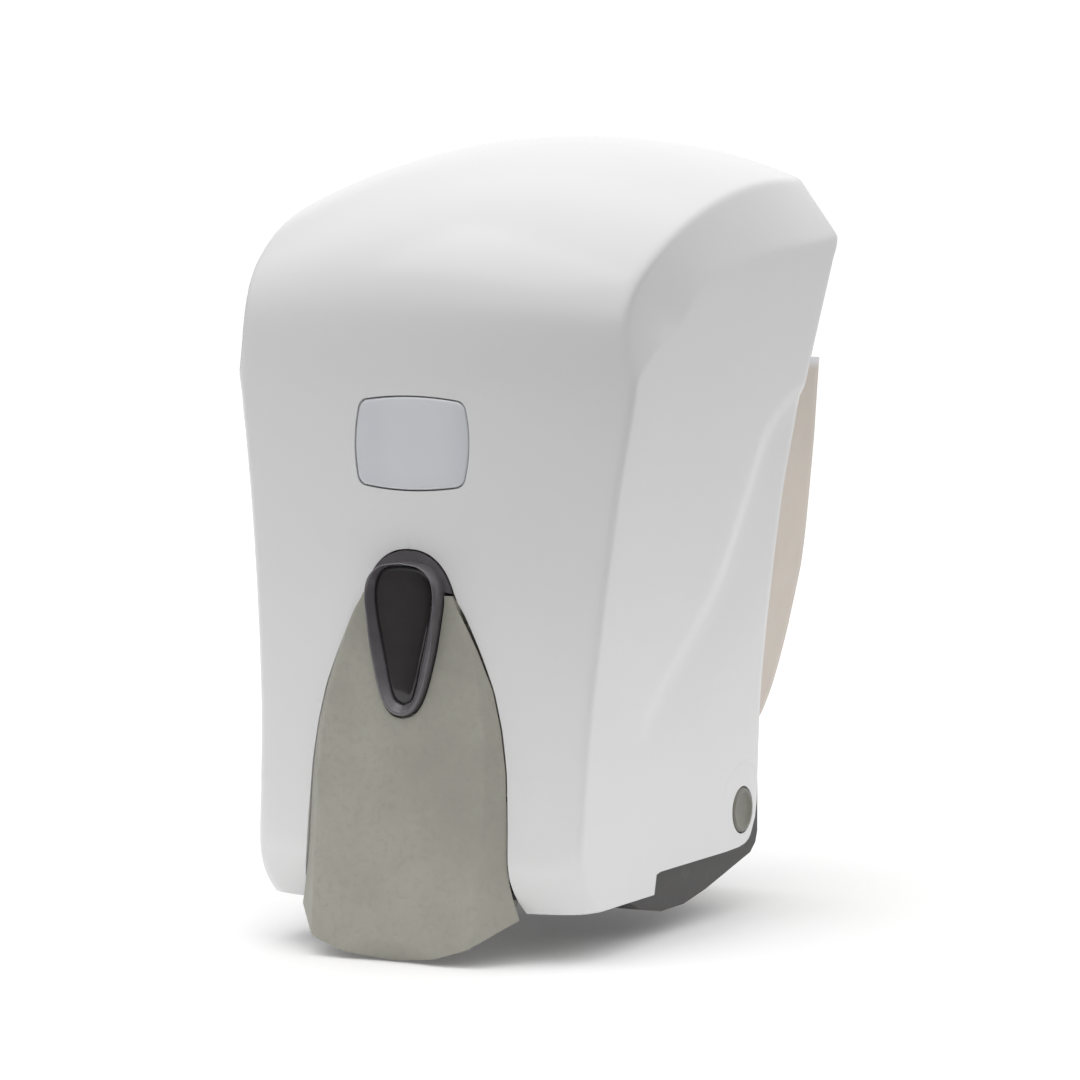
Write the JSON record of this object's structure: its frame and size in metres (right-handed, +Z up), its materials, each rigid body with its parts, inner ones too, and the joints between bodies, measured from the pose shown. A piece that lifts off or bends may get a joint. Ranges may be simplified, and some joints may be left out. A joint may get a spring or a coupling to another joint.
{
  "type": "wall mounted soap dispenser",
  "caption": "Wall mounted lever soap dispenser: hinged white cover over an open-topped tank, push lever with sight glass, piston pump and wall plate.",
  "frame": {"origin": "centre of the wall plate's rear face, on the wall plane", "axes": "+Z up, the wall is behind at Y = 0 and the front faces -Y, +X to the viewer's right when facing the front"},
  "size_m": [0.1289, 0.1559, 0.2113],
  "materials": {
    "cover_white": "moulded gloss white",
    "badge_clear": "clear-faced blank insert",
    "bezel_smoke": "smoke grey gloss",
    "lens_smoke": "dark transparent, polished",
    "lever_grey": "fine matte grey",
    "chassis_dark": "charcoal, fine texture",
    "pin_grey": "matte grey",
    "tank_natural": "translucent natural polypropylene",
    "acetal": "natural acetal",
    "rubber": "matt black",
    "silicone": "translucent silicone",
    "steel": "zinc plated or stainless"
  },
  "bodies": {
    "base": {"wall_plate": "chassis_dark", "base_chassis": "chassis_dark", "tank": "tank_natural", "tank_outlet_seal": "rubber", "pump_body": "acetal", "pump_gland": "acetal", "inlet_valve": "silicone", "outlet_valve": "silicone", "nozzle": "acetal", "hinge_pin_left": "pin_grey", "hinge_pin_right": "pin_grey", "return_spring": "steel", "latch_guide": "chassis_dark", "latch_spring": "steel", "wall_screw_1": "steel", "wall_screw_2": "steel", "wall_screw_3": "steel", "wall_screw_4": "steel", "chassis_screw_1": "steel", "chassis_screw_2": "steel", "pump_screw_1": "steel", "pump_screw_2": "steel"},
    "cover": {"cover_shell": "cover_white", "name_badge": "badge_clear", "sight_glass_bezel": "bezel_smoke", "sight_glass_lens": "lens_smoke", "lever_axle": "steel"},
    "lever": {"push_lever": "lever_grey", "lever_nose": "acetal"},
    "piston": {"piston": "acetal", "piston_seal": "rubber"},
    "latch": {"latch_slider": "chassis_dark"}
  },
  "joints": [
    {"name": "cover_hinge", "type": "hinge", "parent": "base", "child": "cover", "pos_m": [0, -0.0442, -0.0778], "axis": [1, 0, 0], "range_deg": [0, 90]},
    {"name": "lever_pivot", "type": "hinge", "parent": "cover", "child": "lever", "pos_m": [0, -0.1372, -0.017], "axis": [1, 0, 0], "range_deg": [0, 8.3]},
    {"name": "piston_slide", "type": "slide", "parent": "base", "child": "piston", "axis": [0, 1, 0], "range_m": [0, 0.0095], "stiffness_N_per_m": 100, "springref_m": -0.004, "deforming": ["return_spring"]},
    {"name": "latch_slide", "type": "slide", "parent": "base", "child": "latch", "axis": [0, 0, -1], "range_m": [0, 0.003], "stiffness_N_per_m": 300, "springref_m": -0.003, "deforming": ["latch_spring"]}
  ],
  "couplings": [
    {"joint": "piston_slide", "follows": "lever_pivot", "m_per_rad": 0.065}
  ]
}
